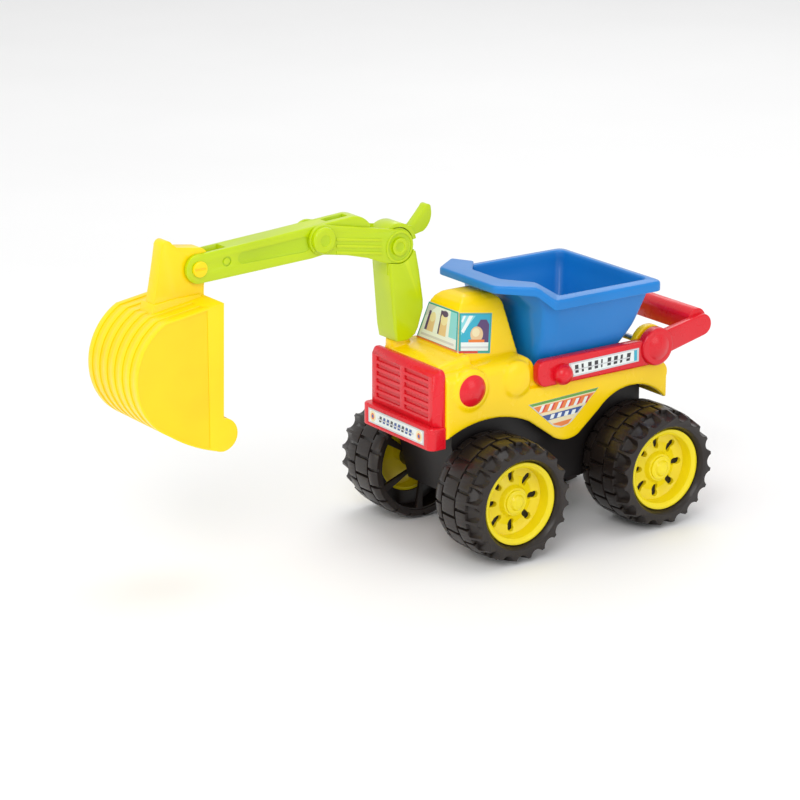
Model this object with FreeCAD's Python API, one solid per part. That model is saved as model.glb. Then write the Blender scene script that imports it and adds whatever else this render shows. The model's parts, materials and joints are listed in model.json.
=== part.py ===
import FreeCAD
import Part
import math
import os

# Toy dump truck with a digger arm standing on its bonnet.
# Millimetres, +Z up. The truck drives towards -Y, +X is the driver's left, x = 0 is the truck's middle.
# Everything is drawn with y = 0 half-way between the axles and z = 0 one tyre edge radius below them.
# It is shifted when it is written out, so that the origin lies on the ground under the middle of the toy.

V = FreeCAD.Vector

# ---- driving dimensions -------------------------------------------------------------------------
TYRE_EDGE_RADIUS = 45.0
TYRE_CROWN_RADIUS = 48.5
TYRE_OUTSIDE = 19.0
TYRE_INSIDE = -33.0
WHEELBASE = 145.0
TRACK_OUTSIDE = 184.0
BODY_HALF_WIDTH = 49.0
RIM_RADIUS = 33.5
LUG_COUNT = 20
SPOKE_WINDOWS = 6
RIM_SLOTS = 8
AXLE_RADIUS = 2.5
RUNNING_GAP = 0.05

AXLE_HEIGHT = TYRE_EDGE_RADIUS
FRONT_AXLE_Y = -WHEELBASE / 2
REAR_AXLE_Y = WHEELBASE / 2
RIM_X = TRACK_OUTSIDE / 2 - TYRE_OUTSIDE

# body
BODY_FRONT_Y = -114.0
BODY_REAR_Y = 105.5
DECK_Z = 121.5
SHOULDER_Z = 148.0
BONNET_Z = 153.0
HIP_Y = -38.0
BODY_WALL = 2.6
CHASSIS_HALF_WIDTH = 37.5
CHASSIS_WALL = 2.5

# tipping bed and its lever frame
TIP_Y = 88.6
TIP_Z = 136.8
BED_FLOOR_Z = 128.0
BED_WALL = 2.4
RAIL_INNER_X = 47.0
RAIL_OUTER_X = 54.0
LEVER_INNER_X = 49.8
LEVER_OUTER_X = 57.5
ARM_OUTER_X = 55.5
BOSS_RADIUS = 15.6
HANDLE_Y = 136.5
HANDLE_Z = 147.0
HANDLE_RADIUS = 9.0
BALL_Y = -7.0
BALL_Z = 130.0
BALL_RADIUS = 8.6

# digger arm: its middle plane lies over the driver's right half of the bonnet
ARM_X = -31.5
SWIVEL_Y = -104.5
POST_FOOT_Z = 157.0
ARM_HALF_WIDTH = 13.0
PLATE_THICKNESS = 3.3
FOREARM_HALF_WIDTH = 9.3
SHOULDER = (-111.2, 232.9)
ELBOW = (-182.3, 248.6)
WRIST = (-289.8, 241.2)
BUCKET_HALF_WIDTH = 36.0
BUCKET_WALL = 2.6
NECK_HALF_WIDTH = 6.0

BUCKET_BACK_Y = -360.8
HANDLE_REAR_Y = HANDLE_Y + HANDLE_RADIUS
ORIGIN_SHIFT = V(0, -(BUCKET_BACK_Y + HANDLE_REAR_Y) / 2, TYRE_CROWN_RADIUS - TYRE_EDGE_RADIUS)

STICKER = 0.4


# ---- shape helpers ------------------------------------------------------------------------------
def box(x0, x1, y0, y1, z0, z1):
    return Part.makeBox(x1 - x0, y1 - y0, z1 - z0, V(x0, y0, z0))


def rod_x(y, z, radius, x0, x1):
    return Part.makeCylinder(radius, x1 - x0, V(x0, y, z), V(1, 0, 0))


def rod_z(x, y, radius, z0, z1):
    return Part.makeCylinder(radius, z1 - z0, V(x, y, z0), V(0, 0, 1))


def fuse(shapes):
    result = shapes[0].fuse(list(shapes[1:])) if len(shapes) > 1 else shapes[0]
    return result.removeSplitter()


def cut(shape, tools):
    return shape.cut(list(tools))


def mirrored(shape):
    return shape.mirror(V(0, 0, 0), V(1, 0, 0))


def outline(start, steps, x=0.0):
    """Closed wire in the YZ plane. A step is (y, z) for a line or ((y, z), (y, z)) for an arc via, to."""
    edges = []
    here = V(x, *start)
    for step in steps:
        if isinstance(step[0], tuple):
            via = V(x, *step[0])
            there = V(x, *step[1])
            edges.append(Part.Arc(here, via, there).toShape())
        else:
            there = V(x, *step)
            edges.append(Part.makeLine(here, there))
        here = there
    if here.distanceToPoint(V(x, *start)) > 1e-6:
        edges.append(Part.makeLine(here, V(x, *start)))
    return Part.Wire(edges)


def plate(start, steps, x0, x1):
    """Solid between x0 and x1 with a side outline drawn in the YZ plane."""
    return Part.Face(outline(start, steps, x0)).extrude(V(x1 - x0, 0, 0))


def offset_plate(start, steps, x0, x1, grow):
    face = Part.Face(outline(start, steps, x0))
    return face.makeOffset2D(grow).Faces[0].extrude(V(x1 - x0, 0, 0))


def turned(points, y, z):
    """Solid of revolution about an axis parallel to X. Points are (x, radius)."""
    wire = Part.makePolygon([V(px, 0, pr) for px, pr in points + points[:1]])
    solid = Part.Face(wire).revolve(V(0, 0, 0), V(1, 0, 0), 360)
    solid.translate(V(0, y, z))
    return solid


def dome_x(y, z, radius, x, height):
    """Domed button standing on the plane x, bulging towards +X."""
    ball_radius = (radius * radius + height * height) / (2 * height)
    ball = Part.makeSphere(ball_radius, V(x + height - ball_radius, y, z))
    return ball.common(box(x, x + height, y - radius, y + radius, z - radius, z + radius))


def rounded(shape, radius, wanted):
    """Fillet the edges whose middle point passes the test."""
    edges = [e for e in shape.Edges if wanted(e.CenterOfMass)]
    return shape.makeFillet(radius, edges)


def skin(loops):
    """Closed solid through loops of equally many corners, with a fan of triangles over each end."""
    faces = []
    count = len(loops[0])
    for low, high in zip(loops, loops[1:]):
        for i in range(count):
            j = (i + 1) % count
            faces.append(Part.Face(Part.makePolygon([low[i], low[j], high[j], low[i]])))
            faces.append(Part.Face(Part.makePolygon([low[i], high[j], high[i], low[i]])))
    for loop in (loops[0], loops[-1]):
        middle = sum(loop, V()) * (1.0 / count)
        for i in range(count):
            faces.append(Part.Face(Part.makePolygon([middle, loop[i], loop[(i + 1) % count], middle])))
    shell = Part.makeShell(faces)
    shell.sewShape()
    solid = Part.Solid(shell)
    if solid.Volume < 0:
        solid.reverse()
    return solid


# ---- wheels -------------------------------------------------------------------------------------
def tyre():
    """Hard hollow tyre, axis along X: crowned tread, three rows of blocks, pointed outer teeth."""
    shell = turned([(TYRE_INSIDE, 41), (TYRE_INSIDE, 43.5), (-30, 45.6), (-8, 46), (6, 44.6), (13, 41.6),
                    (TYRE_OUTSIDE, 40), (TYRE_OUTSIDE, 36.5), (14.4, 33.7), (11.8, 33.7), (11.8, 30),
                    (-14.5, 30), (-14.5, 41)], 0, 0)
    tread = turned([(TYRE_INSIDE, 42), (TYRE_INSIDE, 46), (-28, 48), (-13, TYRE_CROWN_RADIUS),
                    (-7, TYRE_CROWN_RADIUS), (8, 47.4), (TYRE_OUTSIDE, TYRE_EDGE_RADIUS),
                    (TYRE_OUTSIDE, 38)], 0, 0)
    gaps = [ring_gap(-22.5, 1.6, 45.8), ring_gap(-5.0, 1.6, 45.8)]
    pitch = 360.0 / LUG_COUNT
    for i in range(LUG_COUNT):
        for x0, x1, phase in ((-5, 20, 0), (-22.5, -5, 0.5), (-34, -22.5, 0)):
            slot = box(x0, x1, -1.3, 1.3, 44, 52)
            slot.rotate(V(0, 0, 0), V(1, 0, 0), (i + phase) * pitch)
            gaps.append(slot)
        scallop = Part.makeCylinder(6.4, 14, V(7, 0, 47.4), V(1, 0, 0))
        scallop.rotate(V(0, 0, 0), V(1, 0, 0), i * pitch)
        gaps.append(scallop)
    web = turned([(-31, 7.5), (-31, 42), (-28, 42), (-28, 7.5)], 0, 0)
    windows = []
    for i in range(SPOKE_WINDOWS):
        share = 360.0 / SPOKE_WINDOWS
        wedge = Part.makeCylinder(40, 6, V(-32, 0, 0), V(1, 0, 0), share - 9)
        wedge = wedge.cut(Part.makeCylinder(12, 8, V(-33, 0, 0), V(1, 0, 0)))
        wedge.rotate(V(0, 0, 0), V(1, 0, 0), i * share)
        windows.append(wedge)
    hub = turned([(-32.5, AXLE_RADIUS), (-32.5, 9), (-11, 9), (-11, AXLE_RADIUS)], 0, 0)
    return fuse([shell, cut(tread, gaps), cut(web, windows), hub])


def ring_gap(x, width, depth):
    """Groove round the tread."""
    low, high = x - width / 2, x + width / 2
    return turned([(low, depth), (low, 60), (high, 60), (high, depth)], 0, 0)


def rim():
    """Deep dished rim with blind slots, its barrel pressed into the tyre."""
    barrel = turned([(-12.5, 27.6), (-12.5, 30), (11.8, 30), (11.8, RIM_RADIUS), (15.2, RIM_RADIUS - 0.6),
                     (15.2, 31.2), (13.2, 28.6), (4, 27.6)], 0, 0)
    disc = turned([(-1, 8), (-1, 27.8), (4, 27.8), (2, 20), (5, 13), (9, 11), (9, AXLE_RADIUS),
                   (-10.8, AXLE_RADIUS), (-10.8, 8)], 0, 0)
    slots = []
    for i in range(RIM_SLOTS):
        slot = Part.makeCylinder(2.4, 12, V(0, 0, 17.2), V(1, 0, 0))
        slot = slot.fuse(Part.makeCylinder(2.9, 12, V(0, 0, 23), V(1, 0, 0)))
        slot = slot.fuse(box(0, 12, -2.5, 2.5, 17.2, 23))
        slot.rotate(V(0, 0, 0), V(1, 0, 0), i * 360.0 / RIM_SLOTS)
        slots.append(slot)
    return fuse([barrel, cut(disc, slots)])


def hub_cap():
    """Domed cap over the axle end with a raised ring."""
    return turned([(9, 0), (9, 9.5), (10.6, 9.5), (11.2, 8.2), (11.2, 6.6), (12.6, 5.4), (13.4, 3.2),
                   (13.6, 0)], 0, 0)


def wheel_nodes():
    nodes = {}
    drawn = {"tyre": tyre(), "rim": rim(), "hub_cap": hub_cap()}
    for name, y in (("front", FRONT_AXLE_Y), ("rear", REAR_AXLE_Y)):
        for piece, drawing in drawn.items():
            shape = drawing.copy()
            shape.translate(V(RIM_X, y, AXLE_HEIGHT))
            nodes["%s_%s_left" % (piece, name)] = shape
            nodes["%s_%s_right" % (piece, name)] = mirrored(shape)
        reach = RIM_X + 9
        nodes["axle_" + name] = rod_x(y, AXLE_HEIGHT, AXLE_RADIUS, -reach, reach)
    return nodes


# ---- chassis ------------------------------------------------------------------------------------
def chassis():
    """Black tub between the wheels, open upwards, with two cross tubes that carry the axles."""
    side = [(-90, 36), (84, 36), (86, 84), (86, 112), (-101, 112)]
    tub = plate((-102, 84), side, -CHASSIS_HALF_WIDTH, CHASSIS_HALF_WIDTH)
    inner = CHASSIS_HALF_WIDTH - CHASSIS_WALL
    hollow = offset_plate((-102, 84), side, -inner, inner, -CHASSIS_WALL)
    open_top = box(-inner, inner, -98, 83, 105, 113)
    reach = CHASSIS_HALF_WIDTH + 1.7
    tubes = [rod_x(y, AXLE_HEIGHT, 8, -reach, reach) for y in (FRONT_AXLE_Y, REAR_AXLE_Y)]
    bores = [rod_x(y, AXLE_HEIGHT, AXLE_RADIUS + RUNNING_GAP, -52, 52) for y in (FRONT_AXLE_Y, REAR_AXLE_Y)]
    posts = [rod_z(x, y, 4.5, 37, DECK_Z - BODY_WALL) for x, y in screw_places()]
    holes = [rod_z(x, y, 2.6, 30, 39) for x, y in screw_places()]
    return cut(fuse([cut(tub, [hollow, open_top])] + tubes + posts), bores + holes)


def screw_places():
    return [(x, y) for y in (-34.0, 40.0) for x in (-27.0, 27.0)]


def chassis_screw():
    """Pan head screw standing in the chassis floor, head down."""
    head = rod_z(0, 0, 4.2, 34, 36)
    cross = [box(-2.6, 2.6, -0.5, 0.5, 33, 35), box(-0.5, 0.5, -2.6, 2.6, 33, 35)]
    return fuse([cut(head, cross), rod_z(0, 0, 2.6, 36, 39)])


# ---- body ---------------------------------------------------------------------------------------
def lower_body():
    """Skirt with both wheel arches, rear deck, hips and bonnet sides."""
    arches = [((-73, 103.4), (-34, 94.2)), (-12, 78.3), ((2, 72.6), (15, 75)), (36, 92),
              ((70, 106), (103, 90.2)), (BODY_REAR_Y, 90.2), (BODY_REAR_Y, 108), ((104, 118), (96, DECK_Z)),
              (-24, DECK_Z), (-27, 133), ((-30.5, 142), (HIP_Y, SHOULDER_Z)), (BODY_FRONT_Y, 145)]
    solid = plate((BODY_FRONT_Y, 93.2), arches, -BODY_HALF_WIDTH, BODY_HALF_WIDTH)
    solid = rounded(solid, 9, lambda c: abs(c.x) > 48 and c.z > 146 and c.y < HIP_Y + 1)
    return rounded(solid, 1.6, lambda c: abs(c.x) > 48 and c.z < 121)


def bonnet_top():
    """Raised middle of the bonnet in front of the windscreen."""
    solid = plate((BODY_FRONT_Y, 140),
                  [(BODY_FRONT_Y, 149.5), (-104, 151.8), (-84, BONNET_Z + 1), (-84, 140)],
                  -38, 38)
    return rounded(solid, 4, lambda c: abs(c.x) > 37 and c.z > 148)


def cab_loop(half, front, rear, z):
    return [V(-half, front, z), V(half, front, z), V(half, rear, z), V(-half, rear, z)]


def cab():
    """Narrow cab with sides, windscreen and back all leaning inwards, under a domed roof."""
    loops = [cab_loop(30.0, -91.2, -32.0, 145), cab_loop(19.4, -82.0, -39.5, 186),
             cab_loop(17.8, -79.0, -42.0, 190), cab_loop(14.0, -75.0, -47.0, 193.4),
             cab_loop(8.0, -69.5, -54.0, 195.3)]
    return skin(loops)


def side_bulges():
    """Low round seat under each side cap, and the fender hump behind it."""
    swelling = turned([(40, 0), (40, 17), (49, 17), (50, 15.6), (50.6, 13.6), (50.6, 0)], -91.4, 130.2)
    hump = turned([(40, 0), (40, 16), (49.1, 15.2), (51, 11.5), (52, 6), (52.2, 0)], -47, 131)
    return [swelling, hump, mirrored(swelling), mirrored(hump)]


def stanchion():
    """Upright ear that carries the tipping axle."""
    ear = plate((66, 118), [(73.5, 133), ((TIP_Y, TIP_Z + 16), (104, 133)), (102, 118)], 39.5, 46.2)
    return cut(ear, [rod_x(TIP_Y, TIP_Z, AXLE_RADIUS + RUNNING_GAP, 30, 60)])


def swivel_plinth():
    ring = rod_z(ARM_X, SWIVEL_Y, 9.5, 142, POST_FOOT_Z - 0.4)
    return rounded(ring, 1.5, lambda c: c.z > POST_FOOT_Z - 1)


def body_shell():
    ears = [stanchion(), mirrored(stanchion())]
    outer = fuse([lower_body(), bonnet_top(), cab(), swivel_plinth()] + side_bulges() + ears)
    inner_width = BODY_HALF_WIDTH - BODY_WALL
    cavity = [box(-inner_width, inner_width, -110.5, 102.5, 60, DECK_Z - BODY_WALL),
              box(-inner_width + 6, inner_width - 6, -110.5, -42, 100, SHOULDER_Z - 4),
              skin([cab_loop(26, -84, -40, 130), cab_loop(14, -76, -48, 186)])]
    bore = rod_z(ARM_X, SWIVEL_Y, 6 + RUNNING_GAP, 130, 160)
    recess = rod_z(ARM_X, SWIVEL_Y, 8.4, 138, 147)
    cap_holes = rod_x(-91.4, 130.2, 3, -60, 60)
    rail_notches = [box(46.5, 60, -34.8, -20, DECK_Z, 155), box(-60, -46.5, -34.8, -20, DECK_Z, 155)]
    return cut(outer, cavity + rail_notches + [recess, bore, cap_holes])


def grille():
    """Front grille: chamfered frame, centre rib and two columns of louvres."""
    block = box(-46, 46, -122.5, BODY_FRONT_Y, 104, 149)
    block = rounded(block, 5, lambda c: abs(c.x) > 45 and c.z > 148)
    block = block.makeChamfer(5, [e for e in block.Edges if abs(e.CenterOfMass.x) > 45
                                  and e.CenterOfMass.y < -122 and abs(e.CenterOfMass.z - 124) < 4])
    gaps = []
    for side in (-1, 1):
        for i in range(6):
            low = 109.5 + 6.0 * i
            gaps.append(box(min(3 * side, 35 * side), max(3 * side, 35 * side), -123, -120.7, low, low + 3.4))
    return cut(block, gaps)


def bumper():
    """Rounded front bumper with a shallow field for its sticker."""
    block = box(-47, 47, -128.5, BODY_FRONT_Y, 86, 104)
    block = rounded(block, 6, lambda c: abs(c.x) > 46 and c.y < -128 and abs(c.z - 95) < 2)
    block = rounded(block, 1.5, lambda c: c.y < -115 and abs(c.z - 95) > 8)
    return cut(block, [box(-38, 38, -129, -127.9, 89, 101.5)])


def bumper_sticker():
    return box(-37.6, 37.6, -127.9 - STICKER, -127.9, 89.4, 101.1)


def leaning_sticker(corners, lift):
    """Thin plate on a flat leaning panel: four corners in order, thickened by the vector lift."""
    return Part.Face(Part.makePolygon(corners + corners[:1])).extrude(lift)


def cab_side_x(z):
    return 30.0 + (19.4 - 30.0) * (z - 145) / (186 - 145)


def cab_front_y(z):
    return -91.2 + (-82.0 + 91.2) * (z - 145) / (186 - 145)


def window_stickers():
    low, high = 154.8, 184.6
    front = [V(side * (cab_side_x(z) - 0.2), cab_front_y(z), z)
             for side, z in ((-1, low), (1, low), (1, high), (-1, high))]
    low, high = 154.3, 184.0
    side = [V(cab_side_x(z), y, z) for y, z in ((cab_front_y(low) + 0.5, low), (-59, low - 4.5),
                                                (-51.5, high - 4.5), (cab_front_y(high) + 0.5, high))]
    left = leaning_sticker(side, V(STICKER, 0, 0))
    return {"windscreen": leaning_sticker(front, V(0, -STICKER, 0)),
            "window_left": left, "window_right": mirrored(left)}


def side_decal():
    """Flat label on the skirt between the wheels: straight top, curved foot."""
    return plate((-36, 108.5), [(34, 110.8), (8, 88), ((-1, 84.5), (-12, 87.5))],
                 BODY_HALF_WIDTH, BODY_HALF_WIDTH + STICKER)


def side_cap():
    return fuse([dome_x(-91.4, 130.2, 12.6, 50.6, 4.6), rod_x(-91.4, 130.2, 3, 45, 51)])


# ---- tipping bed --------------------------------------------------------------------------------
def bed_loop(side, rear, z, tip, nose):
    """Eight corners of one level: rear, sides, tips and nose. Tip and nose are (x, y, z)."""
    half = [V(side, rear, z), V(side, tip[1] + 11.5, z), V(*tip), V(*nose)]
    return half + [V(-p.x, p.y, p.z) for p in reversed(half)]


def dump_bed():
    """Tapering bed with a turned-down lip all round, drawn out over the cab as a visor."""
    floor_z = BED_FLOOR_Z
    return skin([
        bed_loop(41, 50, floor_z, (39, -20, floor_z), (34, -24, floor_z)),
        bed_loop(49, 71, 157, (47, -21, 157), (42, -25, 157)),
        bed_loop(57.5, 78, 184, (53, -25, 184), (40, -28, 184)),
        bed_loop(58.6, 79, 192.4, (51.5, -29, 202.6), (33, -45, 203.4)),
        bed_loop(63.3, 82.1, 191.8, (54.6, -33.4, 202.5), (34.6, -58.6, 203.3)),
        bed_loop(63.3, 82.1, 186.3, (54.6, -33.4, 197.5), (34.6, -58.6, 199.6)),
        bed_loop(65.7, 84.5, 186.3, (56.8, -35, 197.5), (36.4, -61.3, 199.6)),
        bed_loop(65.7, 84.5, 194.2, (56.8, -35, 205), (36.4, -61.3, 205.8)),
        bed_loop(56, 76.5, 195.6, (40, -24, 204.4), (18, -42, 205)),
        bed_loop(55, 75.5, 184, (49.5, -22.6, 184), (38, -25.5, 184)),
        bed_loop(46.6, 68.7, 157, (44.6, -18.8, 157), (40, -22.6, 157)),
        bed_loop(38.8, 47, floor_z + BED_WALL, (36.8, -17.8, floor_z + BED_WALL),
                 (32, -21.6, floor_z + BED_WALL)),
    ])


def lever():
    """Side rail, pivot boss and handle arm of the tipping lever, left side."""
    rail = plate((-30, 130),
                 [(-30, 136), ((-28, 141.2), (-23, 143.4)), (80, 143.4), (88, 121.8), (-22, 121.8),
                              ((-27.7, 124.3), (-30, 130))], RAIL_INNER_X, RAIL_OUTER_X)
    rail = rounded(rail, 1.6, lambda c: c.x > RAIL_OUTER_X - 0.1)
    ledge = box(38, RAIL_INNER_X, -18, 46, 122.8, BED_FLOOR_Z)
    boss = rod_x(TIP_Y, TIP_Z, BOSS_RADIUS, LEVER_INNER_X, LEVER_OUTER_X)
    boss = rounded(boss, 2.4, lambda c: c.x > LEVER_OUTER_X - 0.1)
    along = math.atan2(HANDLE_Z - TIP_Z, HANDLE_Y - TIP_Y)
    ny, nz = -math.sin(along), math.cos(along)
    arm = plate((TIP_Y + 10 * ny, TIP_Z + 10 * nz),
                [(HANDLE_Y + HANDLE_RADIUS * ny, HANDLE_Z + HANDLE_RADIUS * nz),
                 ((HANDLE_Y + HANDLE_RADIUS * nz, HANDLE_Z - HANDLE_RADIUS * ny),
                  (HANDLE_Y - HANDLE_RADIUS * ny, HANDLE_Z - HANDLE_RADIUS * nz)),
                 (TIP_Y - 10 * ny, TIP_Z - 10 * nz)], LEVER_INNER_X, ARM_OUTER_X)
    arm = rounded(arm, 1.4, lambda c: c.x > ARM_OUTER_X - 0.1)
    solid = fuse([rail, ledge, boss, arm])
    return cut(solid, [rod_x(TIP_Y, TIP_Z, AXLE_RADIUS, 40, 54), rod_x(BALL_Y, BALL_Z, 3, 40, 60),
                       rod_x(HANDLE_Y, HANDLE_Z, 4, 40, 53)])


def handle_bar():
    """Cross bar between the two lever arms: a half-round grip with a spigot at each end."""
    grip = plate((HANDLE_Y - 10, HANDLE_Z - 6), [(HANDLE_Y - 11, HANDLE_Z + 6),
                 ((HANDLE_Y - 3, HANDLE_Z + 13.2), (HANDLE_Y + 6, HANDLE_Z + 8)), (HANDLE_Y + 7, HANDLE_Z)],
                 -LEVER_INNER_X, LEVER_INNER_X)
    hollow = box(-44, 44, HANDLE_Y - 7.5, HANDLE_Y + 8, HANDLE_Z - 9, HANDLE_Z + 4)
    spigots = [rod_x(HANDLE_Y, HANDLE_Z, 4, LEVER_INNER_X, 53),
               rod_x(HANDLE_Y, HANDLE_Z, 4, -53, -LEVER_INNER_X)]
    return fuse([cut(grip, [hollow])] + spigots)


def ball_pin():
    """Ball headed pin through the front of the rail."""
    ball = Part.makeSphere(BALL_RADIUS, V(RAIL_OUTER_X + 0.5, BALL_Y, BALL_Z))
    head = ball.common(box(RAIL_OUTER_X, RAIL_OUTER_X + 9.5, BALL_Y - 9, BALL_Y + 9, BALL_Z - 9, BALL_Z + 9))
    return fuse([head, rod_x(BALL_Y, BALL_Z, 3, RAIL_INNER_X, RAIL_OUTER_X + 1)])


def pivot_cap():
    """Domed cap over the end of the tipping axle."""
    return dome_x(TIP_Y, TIP_Z, 10.5, LEVER_OUTER_X, 2.8)


def rail_sticker():
    return plate((3.5, 125.8), [(-0.5, 137.6), (70.6, 138.6), (70.6, 127.4)],
                 RAIL_OUTER_X, RAIL_OUTER_X + STICKER)


# ---- digger arm ---------------------------------------------------------------------------------
def circle_point(centre, radius, degrees):
    angle = math.radians(degrees)
    return (centre[0] + radius * math.cos(angle), centre[1] + radius * math.sin(angle))


BOOM_START = circle_point(SHOULDER, 13.2, 78)
BOOM_OUTLINE = [(circle_point(SHOULDER, 13.2, -10), circle_point(SHOULDER, 13.2, -100)),
                (-125.5, 222), (-141, 228.2), (-160, 233.2),
                circle_point(ELBOW, 11.5, -98),
                (circle_point(ELBOW, 11.5, 170), circle_point(ELBOW, 11.5, 84))]


def boom_plate():
    """Side plate from shoulder to elbow, with raised ribs and rings on its outer face (left side)."""
    inner = ARM_HALF_WIDTH - PLATE_THICKNESS
    solid = plate(BOOM_START, BOOM_OUTLINE, inner, ARM_HALF_WIDTH - 0.8)
    ribs = []
    for lift in (-5.2, 0, 5.2):
        ribs.append(plate((-170, 240.8 + lift), [(-128, 234.2 + lift), (-128, 236.4 + lift),
                                                 (-170, 243.2 + lift)], inner, ARM_HALF_WIDTH))
    ring = rod_x(SHOULDER[0], SHOULDER[1], 12.6, inner, ARM_HALF_WIDTH)
    groove = rod_x(SHOULDER[0], SHOULDER[1], 10.8, ARM_HALF_WIDTH - 0.8, ARM_HALF_WIDTH + 1)
    solid = fuse([solid, cut(ring, [groove])] + ribs)
    return cut(solid, [rod_x(SHOULDER[0], SHOULDER[1], 5, 0, 20), rod_x(ELBOW[0], ELBOW[1], 4, 0, 20)])


def boom_lever():
    """Saddle over the post's head that joins both plates, with the finger lever the hand pushes."""
    half = ARM_HALF_WIDTH - PLATE_THICKNESS
    ring = rod_x(SHOULDER[0], SHOULDER[1], 18, -half, half)
    ring = cut(ring, [rod_x(SHOULDER[0], SHOULDER[1], 14.9, -20, 20)])
    wedge = plate(SHOULDER, [circle_point(SHOULDER, 30, 150), circle_point(SHOULDER, 30, 90),
                             circle_point(SHOULDER, 30, 12)], -half, half)
    ring = ring.common(wedge)
    finger = plate(circle_point(SHOULDER, 16.4, 54), [(-93.5, 245.5), ((-88, 251.3), (-81.5, 258.5)),
                   ((-77.8, 260.6), (-75.3, 257)), ((-75.6, 248.4), (-82.6, 239.6)),
                   circle_point(SHOULDER, 16.4, 14)], -3.6, 3.6)
    return fuse([ring, finger])


def shoulder_pin():
    shaft = rod_x(SHOULDER[0], SHOULDER[1], 5, -ARM_HALF_WIDTH, ARM_HALF_WIDTH)
    heads = [rod_x(SHOULDER[0], SHOULDER[1], 7, ARM_HALF_WIDTH - 0.8, ARM_HALF_WIDTH + 0.8),
             rod_x(SHOULDER[0], SHOULDER[1], 7, -ARM_HALF_WIDTH - 0.8, -ARM_HALF_WIDTH + 0.8)]
    dimple = rod_x(SHOULDER[0], SHOULDER[1], 4, ARM_HALF_WIDTH + 0.2, ARM_HALF_WIDTH + 1)
    return cut(fuse([shaft] + heads), [dimple])


def elbow_pin():
    face = ARM_HALF_WIDTH - 0.8
    knob = rod_x(ELBOW[0], ELBOW[1], 10.2, face, ARM_HALF_WIDTH + 3.6)
    knob = rounded(knob, 2.0, lambda c: c.x > ARM_HALF_WIDTH + 3.5)
    knob = cut(knob, [rod_x(ELBOW[0], ELBOW[1], 4.6, ARM_HALF_WIDTH + 3, ARM_HALF_WIDTH + 5)])
    return fuse([knob, rod_x(ELBOW[0], ELBOW[1], 4, -face, face),
                 rod_x(ELBOW[0], ELBOW[1], 8, -face - 2, -face)])


def arm_post():
    """Post that turns on the bonnet: wide boot below, narrow head between the boom plates."""
    boot = plate((-114.2, POST_FOOT_Z), [(-101, POST_FOOT_Z), (-96, 160), (-93.2, 165),
                                         (-88.4, 180), (-88.4, 187),
                                         (-92.3, 212), (-96.6, 234), (-120.7, 234),
                                         (-120.7, 222), (-116.1, 167)],
                 -ARM_HALF_WIDTH, ARM_HALF_WIDTH)
    boot = rounded(boot, 2.2,
                   lambda c: abs(c.x) > ARM_HALF_WIDTH - 0.1 and c.z < 228 and c.z > POST_FOOT_Z + 0.1)
    grown = offset_plate(BOOM_START, BOOM_OUTLINE, -ARM_HALF_WIDTH - 1, ARM_HALF_WIDTH + 1, 0.4)
    above = box(-20, 20, -130, -80, SHOULDER[1] - 4, 260)
    boot = cut(boot, [grown, above])
    neck = plate((-120.7, 210), [(-95, 210), (-97.5, 232), (-124, 232), (-120.7, 216)],
                 -FOREARM_HALF_WIDTH, FOREARM_HALF_WIDTH)
    head = rod_x(SHOULDER[0], SHOULDER[1], 14.2, -FOREARM_HALF_WIDTH, FOREARM_HALF_WIDTH)
    neck = neck.common(rod_x(SHOULDER[0], SHOULDER[1], 24, -20, 20))
    sweep = cut(rod_x(SHOULDER[0], SHOULDER[1], 18.8, -20, 20),
                [rod_x(SHOULDER[0], SHOULDER[1], 14.2, -21, 21)])
    sector = plate(SHOULDER, [circle_point(SHOULDER, 40, 180), circle_point(SHOULDER, 40, 90),
                              circle_point(SHOULDER, 40, 0), circle_point(SHOULDER, 40, -20)], -20, 20)
    solid = cut(fuse([boot, neck, head]), [sweep.common(sector)])
    stub = rod_z(0, SWIVEL_Y, 6, 141.5, POST_FOOT_Z + 2)
    bore = rod_x(SHOULDER[0], SHOULDER[1], 5 + RUNNING_GAP, -20, 20)
    return cut(fuse([solid, stub]), [bore])


def swivel_clip():
    """Washer under the bonnet that keeps the post in its bore."""
    return cut(rod_z(0, SWIVEL_Y, 7.8, 142, 146.7), [rod_z(0, SWIVEL_Y, 6, 141, 147)])


FOREARM_START = circle_point(WRIST, 11.2, 80)
FOREARM_OUTLINE = [(circle_point(WRIST, 11.2, 180), circle_point(WRIST, 11.2, -86)),
                   (-246, 232), (-190, 234.6),
                   (-176, 236.5), (-164, 243), (-137, 250), (-136.3, 254), ((-143.5, 260), (-152, 262)),
                   (-215, 257.2)]


def forearm():
    """Long hollow-looking arm with a fork for the bucket, a slot in its back and a sunk side panel."""
    half = FOREARM_HALF_WIDTH
    solid = plate(FOREARM_START, FOREARM_OUTLINE, -half, half)
    solid = rounded(solid, 1.5, lambda c: abs(c.x) > half - 0.1 and c.z > 250 and c.y < -150)
    fork = box(-6.4, 6.4, -302, WRIST[0] + 25, 225, 260)
    slot = box(-4, 4, -174, -154, 253, 270)
    panels = []
    for side in (-1, 1):
        start, end = (half - 0.8, half + 1) if side > 0 else (-half - 1, -half + 0.8)
        panels.append(plate((-251, 239.5), [((-256, 244), (-250.5, 248.7)), (-196, 252.5),
                                            ((-191, 247), (-196, 240.5))], start, end))
        ring = cut(rod_x(-266, 243.5, 3.8, start, end), [rod_x(-266, 243.5, 2.6, start - 1, end + 1)])
        panels.append(ring)
    bores = [rod_x(ELBOW[0], ELBOW[1], 4 + RUNNING_GAP, -20, 20),
             rod_x(WRIST[0], WRIST[1], 3.5 + RUNNING_GAP, -20, 20)]
    return cut(solid, [fork, slot] + panels + bores)


BUCKET_START = (-285.3, 220.5)
BUCKET_OUTLINE = [(-335.6, 212.7), ((-360, 179), (-335, 126.6)), ((-316, 115.5), (-288, 105.8)), (-287, 139)]


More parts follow.
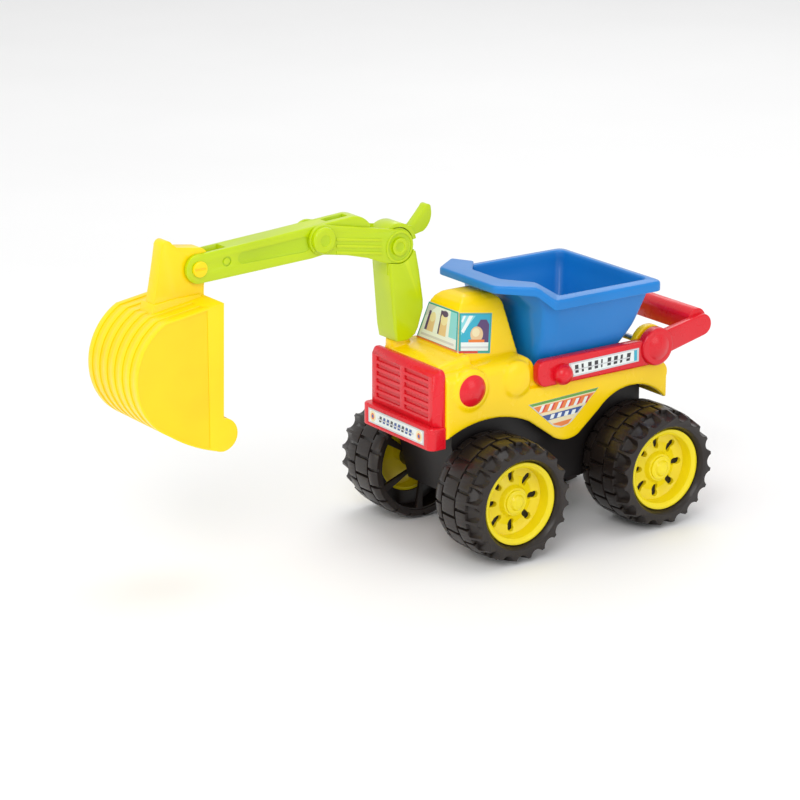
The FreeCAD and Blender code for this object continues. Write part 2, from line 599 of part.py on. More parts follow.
def bucket():
    """Deep rounded scoop, open towards the truck, with ribs over its back, a round lip and a neck."""
    half = BUCKET_HALF_WIDTH
    base = offset_plate(BUCKET_START, BUCKET_OUTLINE, -half + 0.9, half - 0.9, -0.9)
    full = plate(BUCKET_START, BUCKET_OUTLINE, -half, half)
    edge_band = full.common(box(-half, half, -299.6, -280, 90, 230))
    ribs = []
    for i in range(7):
        left = -half + i * (2 * half - 5.5) / 6.0
        ribs.append(full.common(box(left, left + 5.5, -370, -280, 90, 230)))
    lip = rod_x(-288.5, 119, 13, -half, half)
    inside = offset_plate(BUCKET_START, BUCKET_OUTLINE, -half + BUCKET_WALL, half - BUCKET_WALL, -BUCKET_WALL)
    mouth = inside.copy()
    mouth.translate(V(0, 8, 0))
    scoop = [inside, mouth]
    for side in (-1, 1):
        sunk = offset_plate(BUCKET_START, BUCKET_OUTLINE, side * (half - 0.8), side * (half + 1), -1.4)
        scoop.append(sunk.common(box(-half - 1, half + 1, -370, -299.6, 90, 230)))
    neck = plate((-330, 208), [((-323.3, 240), (-319.6, 260.5)), ((-315.5, 265.3), (-311, 262.8)),
                               (-307, 259.4), (-289, 256.8), ((-280.5, 251), (-280.5, 243)),
                               ((-283.5, 232), (-284.3, 219)), (-290, 208)],
                 -NECK_HALF_WIDTH, NECK_HALF_WIDTH)
    web = plate((-334, 205), [(-329, 219.5), (-310, 221.5), (-289, 221.8), (-288, 205)], -NECK_HALF_WIDTH - 3,
                NECK_HALF_WIDTH + 3)
    solid = fuse([base, edge_band, lip, neck, web] + ribs)
    solid = cut(solid, scoop)
    return cut(solid, [rod_x(WRIST[0], WRIST[1], 3.5, -10, 10)])


def bucket_pin():
    """Yellow pin through fork and neck; its near head has a slot."""
    half = FOREARM_HALF_WIDTH
    shaft = rod_x(WRIST[0], WRIST[1], 3.5, -half, half)
    heads = [rod_x(WRIST[0], WRIST[1], 6, half, half + 2), rod_x(WRIST[0], WRIST[1], 6, -half - 2, -half)]
    slot = box(half + 1.2, half + 3, WRIST[0] - 4.5, WRIST[0] + 4.5, WRIST[1] - 0.8, WRIST[1] + 0.8)
    return cut(fuse([shaft] + heads), [slot])


def arm_nodes():
    nodes = {"arm_post": arm_post(), "swivel_clip": swivel_clip(), "boom_plate_left": boom_plate(),
             "boom_plate_right": mirrored(boom_plate()), "boom_lever": boom_lever(),
             "shoulder_pin": shoulder_pin(), "elbow_pin": elbow_pin(), "forearm": forearm(),
             "bucket": bucket(), "bucket_pin": bucket_pin()}
    for shape in nodes.values():
        shape.translate(V(ARM_X, 0, 0))
    return nodes


# ---- assembly -----------------------------------------------------------------------------------
def left_and_right(name, shape):
    return {name + "_left": shape, name + "_right": mirrored(shape)}


def build_nodes():
    nodes = {"body_shell": body_shell(), "chassis": chassis(), "grille": grille(), "bumper": bumper(),
             "bumper_sticker": bumper_sticker(), "dump_bed": dump_bed(), "handle_bar": handle_bar(),
             "tip_axle": rod_x(TIP_Y, TIP_Z, AXLE_RADIUS, -54, 54)}
    nodes.update(window_stickers())
    for name, shape in (("side_decal", side_decal()), ("side_cap", side_cap()), ("lever", lever()),
                        ("ball_pin", ball_pin()), ("pivot_cap", pivot_cap()),
                        ("rail_sticker", rail_sticker())):
        nodes.update(left_and_right(name, shape))
    for i, (x, y) in enumerate(screw_places()):
        screw = chassis_screw()
        screw.translate(V(x, y, 0))
        nodes["chassis_screw_%d" % (i + 1)] = screw
    nodes.update(wheel_nodes())
    nodes.update(arm_nodes())
    return nodes


def main():
    os.makedirs("parts", exist_ok=True)
    for name, shape in build_nodes().items():
        shape.translate(ORIGIN_SHIFT)
        shape.exportStep("parts/%s.step" % name)


main()
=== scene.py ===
"""Looks of the toy dump truck with a digger arm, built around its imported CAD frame."""

import json
import math

import bmesh
import bpy
from mathutils import Matrix, Vector


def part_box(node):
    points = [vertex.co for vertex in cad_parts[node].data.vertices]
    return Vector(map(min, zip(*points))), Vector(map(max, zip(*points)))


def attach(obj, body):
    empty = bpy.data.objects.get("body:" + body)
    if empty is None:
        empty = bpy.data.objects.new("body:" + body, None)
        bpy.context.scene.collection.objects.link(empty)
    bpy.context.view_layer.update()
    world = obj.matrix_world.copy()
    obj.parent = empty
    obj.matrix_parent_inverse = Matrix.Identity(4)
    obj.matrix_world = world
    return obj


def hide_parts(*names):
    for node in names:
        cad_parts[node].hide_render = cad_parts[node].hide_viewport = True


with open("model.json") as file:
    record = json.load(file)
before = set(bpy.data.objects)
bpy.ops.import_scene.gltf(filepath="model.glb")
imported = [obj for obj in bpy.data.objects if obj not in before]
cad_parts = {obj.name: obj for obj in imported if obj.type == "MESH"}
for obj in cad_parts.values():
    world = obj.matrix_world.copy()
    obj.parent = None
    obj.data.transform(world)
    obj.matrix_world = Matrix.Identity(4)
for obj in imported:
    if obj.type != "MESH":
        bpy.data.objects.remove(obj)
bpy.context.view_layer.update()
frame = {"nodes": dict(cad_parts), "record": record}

# ---- measures, in millimetres from the middle between the axles, which stand 45 mm above z = 0 ----
MM = 0.001
FRONT_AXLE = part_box("axle_front")
REAR_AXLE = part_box("axle_rear")
MIDDLE_Y = (FRONT_AXLE[0][1] + FRONT_AXLE[1][1] + REAR_AXLE[0][1] + REAR_AXLE[1][1]) / 4
AXLE_Z = (FRONT_AXLE[0][2] + FRONT_AXLE[1][2]) / 2
DRAWN_AXLE_Z = 45.0
RIM_X = 73.0
RIM_SLOTS = 8
SLOT_INNER_END = (17.2, 2.3)        # distance from the axle, half width
SLOT_OUTER_END = (23, 2.8)
# half thickness of the black plates of painted shade in the rim slots
SLOT_SHADOW_HALF = 0.1
BED_FLOOR_Z = 128.0
BED_WALL = 2.4
CAB_FOOT_X = 30.0                   # half width of the cab at its foot, which leans in going up
CAB_FOOT_Z = 145
CAB_HEIGHT = 41
CAB_LEAN = 10.6
WINDOW_FILM = 0.4
BUMPER_PRINT_Y = -128.32
RAIL_PRINT_X = 54.42
SIDE_PRINT_X = 49.42
SIDE_PRINT_Y = (-40, 40)            # forward is -Y
SIDE_PRINT_Z = (84, 114)
INK_STEP = 0.03                     # each printed shape stands this much above the one before
INK_DEPTH = 0.05


def place(x, y, z):
    return Vector((x * MM, y * MM + MIDDLE_Y, (z - DRAWN_AXLE_Z) * MM + AXLE_Z))


# ---- materials ----------------------------------------------------------------------------------
def new_material(name):
    material = bpy.data.materials.new(name)
    material.use_nodes = True
    tree = material.node_tree
    return material, tree, tree.nodes["Principled BSDF"]


def add_node(tree, kind, **settings):
    node = tree.nodes.new(kind)
    for key, value in settings.items():
        if key in node.inputs:
            node.inputs[key].default_value = value
        else:
            setattr(node, key, value)
    return node


def noise_node(tree, coordinates, scale, detail=2.0, roughness=0.5):
    node = add_node(tree, "ShaderNodeTexNoise", Scale=scale, Detail=detail, Roughness=roughness)
    tree.links.new(coordinates, node.inputs["Vector"])
    return node.outputs["Fac"]


def ramp(tree, factor, stops):
    node = tree.nodes.new("ShaderNodeValToRGB")
    while len(node.color_ramp.elements) < len(stops):
        node.color_ramp.elements.new(0.5)
    for element, (position, color) in zip(node.color_ramp.elements, stops):
        element.position = position
        element.color = (*color, 1.0)
    tree.links.new(factor, node.inputs["Fac"])
    return node.outputs["Color"]


def shade(color, factor):
    return tuple(min(1.0, channel * factor) for channel in color)


def cloudy_color(tree, where, color, wear_and_shade):
    """A slightly uneven colour, lighter on rubbed edges as wear and darker in hollows as painted shade."""
    clouds = noise_node(tree, where, 14.0, 3.0)
    base = ramp(tree, clouds, [(0.3, shade(color, 0.93)), (0.52, color), (0.75, shade(color, 1.05))])
    edge = tree.nodes.new("ShaderNodeNewGeometry").outputs["Pointiness"]
    # pointiness ramp: convex edges lighter for wear, hollows darker as painted shade
    wear_and_painted_shade = ramp(tree, edge, [(0.44, (0.30, 0.30, 0.30)), (0.492, (0.5, 0.5, 0.5)), (0.515, (0.5, 0.5, 0.5)),
                             (0.60, (0.62, 0.62, 0.62))])
    mix = add_node(tree, "ShaderNodeMix", data_type="RGBA", blend_type="OVERLAY")
    mix.inputs["Factor"].default_value = 0.55 * wear_and_shade
    tree.links.new(base, mix.inputs[6])
    tree.links.new(wear_and_painted_shade, mix.inputs[7])
    return mix.outputs[2]


def uneven_gloss(tree, where, roughness):
    gloss = noise_node(tree, where, 55.0, 4.0)
    spread = add_node(tree, "ShaderNodeMapRange")
    spread.inputs["To Min"].default_value = roughness - 0.06
    spread.inputs["To Max"].default_value = roughness + 0.08
    tree.links.new(gloss, spread.inputs["Value"])
    return spread.outputs["Result"]


def orange_peel(tree, where, grain):
    fine = noise_node(tree, where, 900.0, 2.0)
    bump = add_node(tree, "ShaderNodeBump", Strength=0.35, Distance=grain)
    tree.links.new(fine, bump.inputs["Height"])
    return bump.outputs["Normal"]


def plastic(name, color, roughness, coat, grain=0.00004, wear_and_shade=1.0):
    """Moulded plastic. Grain is the height of its fine orange peel in metres; the last argument sets how
    strongly its edges show wear and its hollows show painted shade.
    """
    material, tree, shader = new_material(name)
    where = tree.nodes.new("ShaderNodeTexCoord").outputs["Object"]
    tree.links.new(cloudy_color(tree, where, color, wear_and_shade), shader.inputs["Base Color"])
    tree.links.new(uneven_gloss(tree, where, roughness), shader.inputs["Roughness"])
    tree.links.new(orange_peel(tree, where, grain), shader.inputs["Normal"])
    shader.inputs["Specular IOR Level"].default_value = 0.36
    shader.inputs["Coat Weight"].default_value = coat
    shader.inputs["Coat Roughness"].default_value = 0.12
    return material


def steel(name):
    """Bare metal with faint drawn streaks."""
    material, tree, shader = new_material(name)
    where = tree.nodes.new("ShaderNodeTexCoord").outputs["Object"]
    streaks = add_node(tree, "ShaderNodeMapping")
    streaks.inputs["Scale"].default_value = (4.0, 1.0, 1.0)
    tree.links.new(where, streaks.inputs["Vector"])
    clouds = noise_node(tree, streaks.outputs["Vector"], 300.0, 3.0)
    tree.links.new(ramp(tree, clouds, [(0.3, (0.42, 0.42, 0.43)), (0.7, (0.62, 0.62, 0.64))]),
                   shader.inputs["Base Color"])
    shader.inputs["Metallic"].default_value = 1.0
    shader.inputs["Roughness"].default_value = 0.35
    return material


materials = {
    "yellow_plastic": plastic("yellow_plastic", (1.0, 0.68, 0.0), 0.25, 0.2, wear_and_shade=0.45),
    "rim_plastic": plastic("rim_plastic", (0.86, 0.70, 0.005), 0.3, 0.2),
    "bucket_plastic": plastic("bucket_plastic", (0.98, 0.70, 0.0), 0.33, 0.15),
    "red_plastic": plastic("red_plastic", (0.74, 0.006, 0.018), 0.27, 0.25),
    "blue_plastic": plastic("blue_plastic", (0.004, 0.20, 0.60), 0.33, 0.12),
    "green_plastic": plastic("green_plastic", (0.50, 0.66, 0.0), 0.3, 0.2),
    "black_plastic": plastic("black_plastic", (0.008, 0.006, 0.006), 0.45, 0.0),
    "tyre_plastic": plastic("tyre_plastic", (0.016, 0.011, 0.009), 0.36, 0.1, grain=0.0001),
    "steel": steel("steel"),
}


def flat_print(name, color):
    """Printed sticker ink under a clear film."""
    return plastic(name, color, 0.22, 0.6, grain=0.00001, wear_and_shade=0.0)


inks = {
    "white": flat_print("ink_white", (0.82, 0.88, 0.86)),
    "sky": flat_print("ink_sky", (0.25, 0.66, 0.72)),
    "teal": flat_print("ink_teal", (0.03, 0.36, 0.32)),
    "cyan": flat_print("ink_cyan", (0.03, 0.42, 0.58)),
    "tan": flat_print("ink_tan", (0.78, 0.55, 0.30)),
    "plum": flat_print("ink_plum", (0.10, 0.05, 0.16)),
    "orange": flat_print("ink_orange", (0.80, 0.20, 0.03)),
    "silver": flat_print("ink_silver", (0.62, 0.64, 0.66)),
    "cream": flat_print("ink_cream", (0.85, 0.74, 0.45)),
    "black": flat_print("ink_black", (0.02, 0.02, 0.025)),
    "navy": flat_print("ink_navy", (0.03, 0.08, 0.30)),
    "green": flat_print("ink_green", (0.10, 0.35, 0.05)),
    "red": flat_print("ink_red", (0.65, 0.04, 0.03)),
}


# ---- mesh helpers -------------------------------------------------------------------------------
def new_piece(name, vertices, faces, material, body, replaced=()):
    mesh = bpy.data.meshes.new(name)
    mesh.from_pydata([tuple(v) for v in vertices], [], faces)
    mesh.validate()
    piece = bpy.data.objects.new(name, mesh)
    bpy.context.scene.collection.objects.link(piece)
    mesh.materials.append(material)
    finish_piece(piece, body, replaced, 35)


def finish_piece(piece, body, replaced, smooth):
    select_only(piece)
    bpy.ops.object.shade_smooth_by_angle(angle=math.radians(smooth))
    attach(piece, body)
    if replaced:
        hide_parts(*replaced)


def select_only(piece):
    bpy.ops.object.select_all(action="DESELECT")
    piece.select_set(True)
    bpy.context.view_layer.objects.active = piece


def apply_modifiers(piece):
    select_only(piece)
    for modifier in list(piece.modifiers):
        bpy.ops.object.modifier_apply(modifier=modifier.name)


def rounded_corners(points, radii, steps, closed=True):
    """Replaces each corner of a polyline by a short curve. There is one radius per corner."""
    result = []
    count = len(points)
    for i, corner in enumerate(points):
        if not closed and i in (0, count - 1):
            result.append(corner)
            continue
        before, after = points[i - 1] - corner, points[(i + 1) % count] - corner
        reach_before = min(radii[i], before.length * 0.48)
        reach_after = min(radii[i], after.length * 0.48)
        a = corner + before.normalized() * reach_before
        b = corner + after.normalized() * reach_after
        for k in range(steps + 1):
            t = k / steps
            result.append(a * (1 - t) ** 2 + corner * 2 * t * (1 - t) + b * t ** 2)
    return result


def loft(loops):
    """Vertices and faces through closed loops of equally many points, with a cap at each end."""
    count = len(loops[0])
    vertices = [p for loop in loops for p in loop]
    faces = []
    for level in range(len(loops) - 1):
        for i in range(count):
            j = (i + 1) % count
            faces.append((level * count + i, level * count + j,
                          (level + 1) * count + j, (level + 1) * count + i))
    faces.append(tuple(reversed(range(count))))
    faces.append(tuple((len(loops) - 1) * count + i for i in range(count)))
    return vertices, faces


def turned_round(faces):
    """The same faces, facing the other way."""
    return [face[::-1] for face in faces]


# ---- softened CAD shapes ------------------------------------------------------------------------
BODY_OF = {node: body for body, nodes in frame["record"]["behaviour"]["bodies"].items() for node in nodes}
SLOT_OF = {part["node"]: part["material_slot"] for part in frame["record"]["subparts"]}


ROUNDED_EDGES = {"grille": 0.5, "bumper": 0.4, "handle_bar": 0.7, "arm_post": 0.8, "bucket": 0.5,
                 "boom_lever": 0.6, "elbow_pin": 0.4, "shoulder_pin": 0.3, "bucket_pin": 0.3,
                 "chassis": 0.8, "forearm": 0.6, "lever": 0.4, "boom_plate": 0.25, "tyre": 0.45, "rim": 0.4}
FLAT_WITHIN = {"forearm": 0.05}     # degrees; its long joined faces fold over at the usual 0.6


def family(node):
    """The name shared by the copies of a solid: tyre for tyre_front_left."""
    for ending in ("_left", "_right", "_front", "_rear"):
        node = node.replace(ending, "")
    return node


def copied_piece(node):
    mesh = frame["nodes"][node].data.copy()
    piece = bpy.data.objects.new("moulded_" + node, mesh)
    bpy.context.scene.collection.objects.link(piece)
    mesh.materials.clear()
    mesh.materials.append(materials[SLOT_OF[node]])
    return piece


def forget_normals(mesh):
    if mesh.attributes.get("custom_normal"):
        mesh.attributes.remove(mesh.attributes["custom_normal"])


def soft_copy(node):
    """A moulded copy of a CAD solid: welded, its flat faces joined, and every sharp edge rounded."""
    piece = copied_piece(node)
    mesh = piece.data
    joined = math.radians(FLAT_WITHIN.get(family(node), 0.6))
    work = bmesh.new()
    work.from_mesh(mesh)
    bmesh.ops.remove_doubles(work, verts=work.verts, dist=2e-6)
    bmesh.ops.dissolve_limit(work, angle_limit=joined, verts=work.verts, edges=work.edges)
    for face in work.faces:
        face.material_index = 0
    work.to_mesh(mesh)
    work.free()
    forget_normals(mesh)
    bevel = piece.modifiers.new("edges", "BEVEL")
    bevel.width = ROUNDED_EDGES[family(node)] * MM
    bevel.segments = 2
    bevel.limit_method = "ANGLE"
    bevel.angle_limit = math.radians(34)
    bevel.use_clamp_overlap = True
    apply_modifiers(piece)
    finish_piece(piece, BODY_OF[node], (node,), 40)


def flowing_copy(node, cell, rounds, keep):
    """A copy whose swellings, arches and corners run into each other like one moulding."""
    piece = copied_piece(node)
    cells = piece.modifiers.new("cells", "REMESH")
    cells.mode = "VOXEL"
    cells.voxel_size = cell * MM
    soften = piece.modifiers.new("soften", "SMOOTH")
    soften.factor = 0.5
    soften.iterations = rounds
    fewer = piece.modifiers.new("fewer", "DECIMATE")
    fewer.ratio = keep
    apply_modifiers(piece)
    forget_normals(piece.data)
    finish_piece(piece, BODY_OF[node], (node,), 60)


# ---- tipping bed --------------------------------------------------------------------------------
def bed_level(side, rear, z, tip, nose):
    """Eight corners of one level of the bed: rear, sides, tips and nose."""
    half = [(side, rear, z), (side, tip[1] + 11.5, z), tip, nose]
    return [Vector(p) for p in half] + [Vector((-x, y, h)) for x, y, h in reversed(half)]


def dump_bed():
    """The bed, up its outside, over its folded rim and down its inside to the floor."""
    floor = BED_FLOOR_Z
    inner_floor = BED_FLOOR_Z + BED_WALL
    levels = [
        bed_level(41, 50, floor, (39, -20, floor), (34, -24, floor)),
        bed_level(49, 71, 157, (47, -21, 157), (42, -25, 157)),
        bed_level(57.5, 78, 184, (53, -25, 184), (40, -28, 184)),
        bed_level(58.6, 79, 192.4, (51.5, -29, 202.6), (33, -45, 203.4)),
        bed_level(63.3, 82.1, 191.8, (54.6, -33.4, 202.5), (34.6, -58.6, 203.3)),
        bed_level(63.3, 82.1, 186.3, (54.6, -33.4, 197.5), (34.6, -58.6, 199.6)),
        bed_level(65.7, 84.5, 186.3, (56.8, -35, 197.5), (36.4, -61.3, 199.6)),
        bed_level(65.7, 84.5, 194.2, (56.8, -35, 205), (36.4, -61.3, 205.8)),
        bed_level(56, 76.5, 195.6, (40, -24, 204.4), (18, -42, 205)),
        bed_level(55, 75.5, 184, (49.5, -22.6, 184), (38, -25.5, 184)),
        bed_level(46.6, 68.7, 157, (44.6, -18.8, 157), (40, -22.6, 157)),
        bed_level(38.8, 47, inner_floor, (36.8, -17.8, inner_floor), (32, -21.6, inner_floor)),
    ]
    corner = [7, 2.5, 3, 4, 4, 3, 2.5, 7]
    rounded = [rounded_corners(level, corner, 5) for level in levels]
    across = [0, 6, 5, 2, 1.6, 0.8, 0.9, 2.6, 2.2, 5, 6, 0]
    columns = [rounded_corners([level[i] for level in rounded], across, 4, closed=False)
               for i in range(len(rounded[0]))]
    loops = [[place(*column[k]) for column in columns] for k in range(len(columns[0]))]
    vertices, faces = loft(loops)
    new_piece("tipping_bed", vertices, turned_round(faces), materials["blue_plastic"],
              "tipper", ("dump_bed",))


# ---- rims ---------------------------------------------------------------------------------------
def slot_shadow_plates(name, body, sign, axle):
    """Black plates at the bottoms of the eight blind slots in a rim: painted shade for the dark inside of
    the slots.
    """
    centre = Vector((sign * (RIM_X + 0.15) * MM, (axle[0][1] + axle[1][1]) / 2, AXLE_Z))
    vertices, faces = [], []
    for k in range(RIM_SLOTS):
        turn = Matrix.Rotation(math.radians(k * 360 / RIM_SLOTS), 3, "X")
        outline = arc(*SLOT_INNER_END, 180, 360) + arc(*SLOT_OUTER_END, 0, 180)
        first = len(vertices)
        for depth in (-SLOT_SHADOW_HALF, SLOT_SHADOW_HALF):
            vertices += [centre + turn @ Vector((depth, y, z)) * MM for y, z in outline]
        count = len(outline)
        faces.append([first + i for i in range(count)])
        faces.append([first + count + i for i in reversed(range(count))])
        faces += [[first + i, first + count + i, first + count + (i + 1) % count, first + (i + 1) % count]
                  for i in range(count)]
    new_piece(name, vertices, turned_round(faces), materials["black_plastic"], body)


def arc(height, radius, start, end, count=8):
    """Points round a centre at this height, from one angle in degrees to another."""
    angles = [math.radians(start + (end - start) * k / count) for k in range(count + 1)]
    return [(radius * math.cos(t), height + radius * math.sin(t)) for t in angles]


def rims():
    for end, axle in (("front", FRONT_AXLE), ("rear", REAR_AXLE)):
        for side, sign in (("left", 1), ("right", -1)):
            # black plates in each rim's slots: painted shade
            slot_shadow_plates("slot_floors_%s_%s" % (end, side), end + "_wheels", sign, axle)


# ---- stickers -----------------------------------------------------------------------------------
def art(name, corners, shapes, body):
    """Printed shapes on a flat panel, each a hair thicker than the one before. Corners go round the
    panel: low start, low end, high end, high start. Shapes are (ink, points in 0..1 along and up)."""
    a, b, c, d = corners
    out = (b - a).cross(d - a).normalized() * (1 if a.x >= 0 or abs(a.x + b.x) < 0.001 else -1)
    mesh = bpy.data.meshes.new(name)
    piece = bpy.data.objects.new(name, mesh)
    bpy.context.scene.collection.objects.link(piece)
    used = sorted({ink for ink, points in shapes})
    for ink in used:
        mesh.materials.append(inks[ink])
    work = bmesh.new()
    for layer, (ink, points) in enumerate(shapes):
        thickness = out * (INK_STEP * (layer + 1) * MM)
        flat = [a.lerp(b, u).lerp(d.lerp(c, u), v) for u, v in points]
        top = [work.verts.new(p + thickness) for p in flat]
        low = [work.verts.new(p - out * INK_DEPTH * MM) for p in flat]
        made = [work.faces.new(top), work.faces.new(list(reversed(low)))]
        for i in range(len(top)):
            j = (i + 1) % len(top)
            made.append(work.faces.new((top[j], top[i], low[i], low[j])))
        for face in made:
            face.material_index = used.index(ink)
    bmesh.ops.recalc_face_normals(work, faces=work.faces)
    bmesh.ops.triangulate(work, faces=work.faces)
    work.to_mesh(mesh)
    work.free()
    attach(piece, body)


def oval(u, v, ru, rv, count=20):
    return [(u + ru * math.cos(2 * math.pi * k / count), v + rv * math.sin(2 * math.pi * k / count))
            for k in range(count)]


def bar(u0, u1, v0, v1, lean=0.0):
    return [(u0, v0), (u1, v0), (u1 + lean, v1), (u0 + lean, v1)]


def cab_side_x(z):
    return CAB_FOOT_X - CAB_LEAN * (z - CAB_FOOT_Z) / CAB_HEIGHT + WINDOW_FILM


def side_name(name, sign):
    return name + ("_left" if sign > 0 else "_right")


def side_window(sign):
    corners = [place(sign * cab_side_x(z), y, z)
               for y, z in ((-88.5, 154.5), (-59.2, 150.0), (-51.8, 179.3), (-82.2, 183.8))]
    shapes = [("teal", bar(0, 1, 0, 1)), ("cyan", bar(0.05, 0.96, 0.27, 0.97)),
              ("sky", [(0.06, 0.45), (0.5, 0.94), (0.06, 0.94)]),
              ("white", [(0.06, 0.55), (0.14, 0.5), (0.42, 0.94), (0.3, 0.94)]),
              ("white", [(0.06, 0.8), (0.1, 0.76), (0.2, 0.94), (0.13, 0.94)]),
              ("plum", [(0.5, 0.27), (0.93, 0.27), (0.93, 0.72), (0.84, 0.84), (0.66, 0.84), (0.56, 0.7)]),
              ("tan", oval(0.55, 0.47, 0.2, 0.2)), ("cream", oval(0.52, 0.52, 0.12, 0.11)),
              ("orange", bar(0.3, 0.8, 0.27, 0.34)), ("white", bar(0.06, 0.93, 0.06, 0.27)),
              ("silver", bar(0.06, 0.93, 0.12, 0.17)), ("red", bar(0.0, 0.6, 0.0, 0.05))]
    art(side_name("window_print", sign), corners, shapes, "truck")


def windscreen():
    corners = [place(x, y, z) for x, y, z in ((-27.1, -89.4, 155.0), (27.1, -89.4, 155.0),
                                              (19.6, -82.75, 184.4), (-19.6, -82.75, 184.4))]
    shapes = [("teal", bar(0, 1, 0, 1)), ("white", bar(0.03, 0.965, 0.05, 0.96)),
              ("sky", bar(0.76, 0.965, 0.3, 0.96)), ("silver", [(0.03, 0.6), (0.3, 0.96), (0.03, 0.96)]),
              ("plum", bar(0.46, 0.56, 0.28, 0.9)), ("tan", bar(0.5, 0.68, 0.26, 0.72)),
              ("cream", oval(0.59, 0.7, 0.1, 0.16)), ("plum", oval(0.6, 0.84, 0.09, 0.08)),
              ("tan", bar(0.18, 0.34, 0.26, 0.66)), ("plum", bar(0.12, 0.18, 0.28, 0.8)),
              ("cream", oval(0.26, 0.66, 0.08, 0.13)), ("white", bar(0.03, 0.965, 0.05, 0.27)),
              ("silver", bar(0.08, 0.92, 0.12, 0.18)), ("orange", bar(0, 1, 0, 0.04))]
    art("windscreen_print", corners, shapes, "truck")


def bumper_print():
    corners = [place(x, BUMPER_PRINT_Y, z)
               for x, z in ((-37.4, 89.6), (37.4, 89.6), (37.4, 100.9), (-37.4, 100.9))]
    shapes = [("silver", bar(0, 1, 0, 1)), ("white", bar(0.02, 0.98, 0.1, 0.9))]
    for end in (0.08, 0.92):
        shapes += [("cream", oval(end, 0.5, 0.055, 0.4)), ("orange", oval(end, 0.5, 0.03, 0.24)),
                   ("navy", oval(end, 0.5, 0.016, 0.13))]
    for i in range(9):
        ink = "navy" if i % 3 else "black"
        shapes.append((ink, bar(0.2 + i * 0.068, 0.235 + i * 0.068, 0.3, 0.72, 0.012)))
    shapes.append(("silver", bar(0.18, 0.82, 0.45, 0.53)))
    art("bumper_print", corners, shapes, "truck")


def rail_print(sign):
    corners = [place(sign * RAIL_PRINT_X, y, z)
               for y, z in ((3.6, 126.0), (70.4, 127.6), (70.4, 138.4), (-0.3, 137.5))]
    shapes = [("silver", bar(0, 1, 0, 1)), ("white", bar(0.02, 0.97, 0.1, 0.9))]
    for i, width in enumerate((0.05, 0.03, 0.05, 0.05, 0.02, 0.05, 0.05, 0.03, 0.05)):
        start = 0.05 + i * 0.095
        shapes.append(("black", bar(start, start + width, 0.22, 0.8, 0.02)))
    shapes += [("silver", bar(0.04, 0.86, 0.42, 0.5)), ("cyan", bar(0.93, 0.97, 0.1, 0.9))]
    art(side_name("rail_print", sign), corners, shapes, "tipper")


def side_print(sign):
    """Shapes here are drawn in millimetres along Y and Z and scaled to the panel."""
    (front, rear), (low, high) = SIDE_PRINT_Y, SIDE_PRINT_Z
    corners = [place(sign * SIDE_PRINT_X, y, z)
               for y, z in ((front, low), (rear, low), (rear, high), (front, high))]
    drawn = [("cream", [(-34, 108.3), (32.4, 110.5), (8, 89), (4, 86), (-3, 85), (-11, 87.5)]),
             ("orange", [(-31, 105.4), (30, 107.6), (22, 101), (-25, 99.5)]),
             ("green", [(-35.2, 108.4), (33.5, 110.7), (31.5, 108.6), (-32.5, 106.4)]),
             ("navy", [(-22.5, 97), (18, 98.6), (12.5, 93.8), (-17, 92.4)]),
             ("orange", [(-12, 88.8), (7.4, 89.8), (3.4, 86.2), (-3, 85.4), (-10.6, 87.8)])]
    for i in range(6):
        y = -26 + i * 8.6
        drawn.append(("white", [(y, 100.2), (y + 3, 100.4), (y + 6, 105.8), (y + 3, 105.6)]))
        drawn.append(("red", [(y + 3, 100.4), (y + 5, 100.5), (y + 8, 106), (y + 6, 105.8)]))
    for i in range(4):
        y = -15 + i * 7
        drawn.append(("white", [(y, 93.4), (y + 3.4, 93.5), (y + 5, 97), (y + 1.6, 96.9)]))
    shapes = [(ink, [((y - front) / (rear - front), (z - low) / (high - low)) for y, z in points])
              for ink, points in drawn]
    art(side_name("side_print", sign), corners, shapes, "truck")


def stickers():
    windscreen()
    bumper_print()
    for sign in (1, -1):
        side_window(sign)
        rail_print(sign)
        side_print(sign)


# ---- stage --------------------------------------------------------------------------------------
def floor():
    mesh = bpy.data.meshes.new("floor")
    half = 8.0
    corners = [(-half, -half, 0), (half, -half, 0), (half, half, 0), (-half, half, 0)]
    mesh.from_pydata(corners, [], [(0, 1, 2, 3)])
    sheet = bpy.data.objects.new("floor", mesh)
    bpy.context.scene.collection.objects.link(sheet)
    material, tree, shader = new_material("floor_white")
    where = tree.nodes.new("ShaderNodeTexCoord").outputs["Object"]
    white = ramp(tree, noise_node(tree, where, 3.0), [(0.3, (0.92, 0.92, 0.92)), (0.7, (0.94, 0.94, 0.94))])
    tree.links.new(white, shader.inputs["Base Color"])
    shader.inputs["Roughness"].default_value = 0.7
    mesh.materials.append(material)


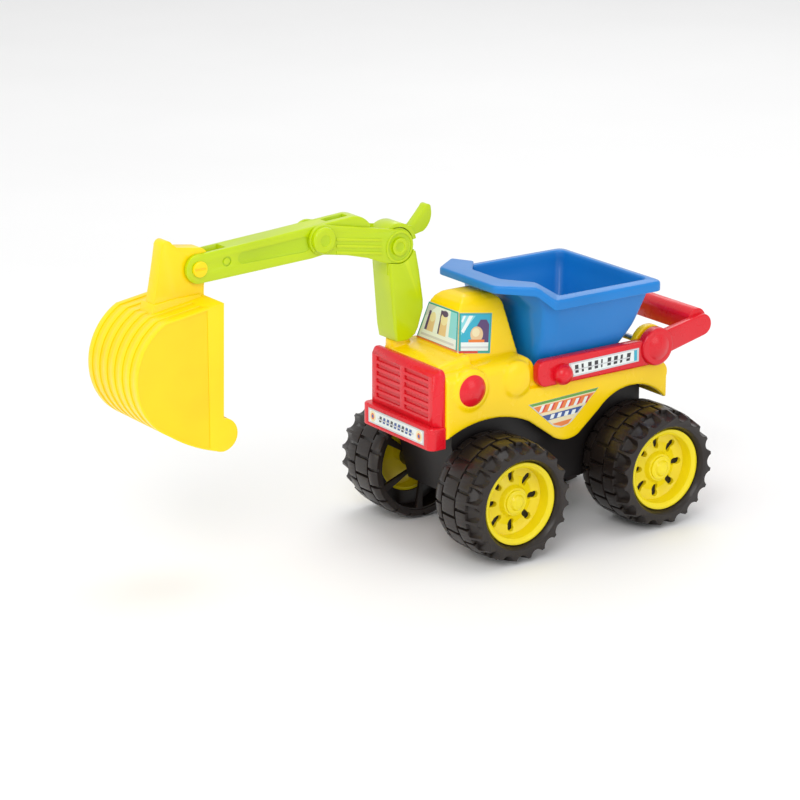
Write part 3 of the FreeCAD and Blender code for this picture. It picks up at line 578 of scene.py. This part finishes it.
def area_light(name, position, target, size, power):
    data = bpy.data.lights.new(name, "AREA")
    data.size = size
    data.energy = power
    lamp = bpy.data.objects.new(name, data)
    bpy.context.scene.collection.objects.link(lamp)
    lamp.location = position
    lamp.rotation_euler = (Vector(target) - Vector(position)).to_track_quat("-Z", "Y").to_euler()


def lights():
    world = bpy.data.worlds.new("studio")
    bpy.context.scene.world = world
    world.use_nodes = True
    background = world.node_tree.nodes["Background"]
    background.inputs["Color"].default_value = (1.0, 1.0, 1.0, 1.0)
    background.inputs["Strength"].default_value = 0.78
    centre = (0.0, 0.0, 0.1)
    area_light("key", (1.3, -1.3, 1.7), centre, 1.0, 15)
    area_light("fill", (2.2, 0.6, 0.9), centre, 1.2, 6)
    area_light("rim", (-1.4, 1.6, 1.6), centre, 1.2, 6)
    area_light("top", (-0.2, 0.2, 2.4), centre, 1.2, 9)
    area_light("front", (-0.2, -2.4, 0.7), centre, 1.0, 7)


def camera():
    """Three-quarter view: 55 degrees round from the front, 17.3 degrees up, through a long lens."""
    azimuth, elevation = math.radians(55.0), math.radians(17.3)
    distance, aside, below = 2.340, 0.10175, -0.0465
    back = Vector((math.sin(azimuth) * math.cos(elevation), -math.cos(azimuth) * math.cos(elevation),
                   math.sin(elevation)))
    right = Vector((math.cos(azimuth), math.sin(azimuth), 0))
    up = back.cross(right)
    data = bpy.data.cameras.new("camera")
    data.sensor_width = 36.0
    data.lens = 130.2
    data.clip_end = 50.0
    eye = bpy.data.objects.new("camera", data)
    bpy.context.scene.collection.objects.link(eye)
    rotation = Matrix((right, up, back)).transposed().to_4x4()
    aim = Vector((0, MIDDLE_Y, AXLE_Z))
    eye.matrix_world = Matrix.Translation(aim + back * distance - right * aside - up * below) @ rotation
    bpy.context.scene.camera = eye


# ---- build --------------------------------------------------------------------------------------
floor()
lights()
camera()
bpy.context.scene.view_settings.view_transform = "Standard"

for name in list(frame["nodes"]):
    if name == "body_shell":
        flowing_copy(name, 0.9, 9, 0.3)
    elif family(name) in ROUNDED_EDGES:
        soft_copy(name)
    else:
        wanted = materials.get(SLOT_OF[name]) or inks["silver"]
        for holder in frame["nodes"][name].material_slots:
            holder.material = wanted
dump_bed()
rims()
stickers()
